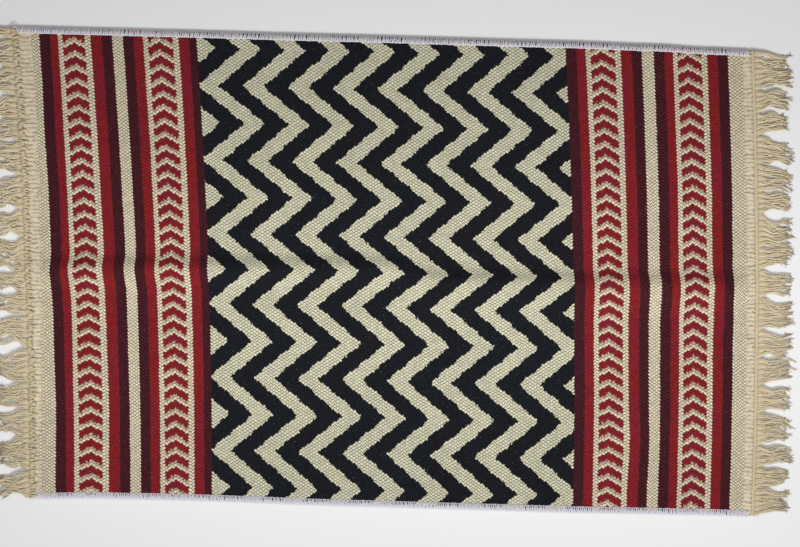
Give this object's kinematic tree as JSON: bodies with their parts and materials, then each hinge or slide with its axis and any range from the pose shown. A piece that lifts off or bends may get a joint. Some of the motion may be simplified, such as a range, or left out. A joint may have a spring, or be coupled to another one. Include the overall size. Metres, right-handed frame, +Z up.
{
  "type": "rug",
  "caption": "Rectangular flat-woven cotton rug with a zigzag field, chevron border bands and fringed ends, lying flat with one low fold along its middle.",
  "frame": {"origin": "on the floor, under the middle of the rug's outline with its fringes", "axes": "+X along the warp, from the left fringe to the right one; +Y along the weft; +Z up, out of the patterned face"},
  "size_m": [1.035, 0.6266, 0.0125],
  "materials": {
    "woven_cotton": "matt weft-faced cotton weave in cream, black, red and maroon",
    "warp_cotton": "loose undyed cotton warp yarn",
    "overlock_thread": "white spun sewing thread"
  },
  "bodies": {
    "root": {"rug_cloth": "woven_cotton", "fringe_left": "warp_cotton", "fringe_right": "warp_cotton"}
  },
  "joints": []
}
